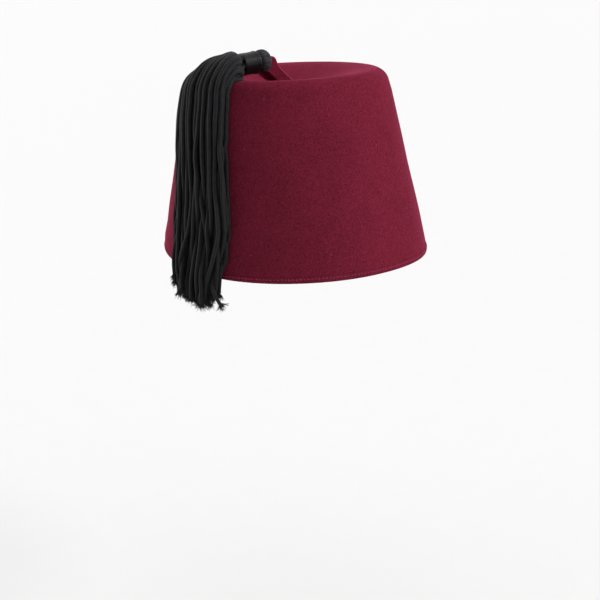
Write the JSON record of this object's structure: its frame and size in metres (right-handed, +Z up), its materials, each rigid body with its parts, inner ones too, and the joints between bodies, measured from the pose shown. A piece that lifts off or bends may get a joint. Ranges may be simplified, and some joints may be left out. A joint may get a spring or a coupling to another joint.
{
  "type": "fez hat",
  "caption": "Felt fez: a truncated cone crown with a dished tip and an open rim, and a black cord tassel on a felt strap, hanging over one side to below the rim.",
  "frame": {"origin": "centre of the rim's oval opening, in the plane of the rim's edge, where the hat sits on a head", "axes": "+Z up from the rim to the tip; -Y to the front of the hat; -X to the wearer's right, where the tassel hangs"},
  "size_m": [0.1873, 0.1914, 0.1547],
  "materials": {
    "crown": "maroon wool felt, matt with a short nap",
    "tassel_strap": "maroon wool felt, cut edges",
    "tassel_collar": "black wound thread, satin",
    "tassel": "black cord, soft satin"
  },
  "bodies": {
    "root": {"crown": "crown", "tassel_strap": "tassel_strap", "tassel_collar": "tassel_collar", "tassel": "tassel"}
  },
  "joints": []
}
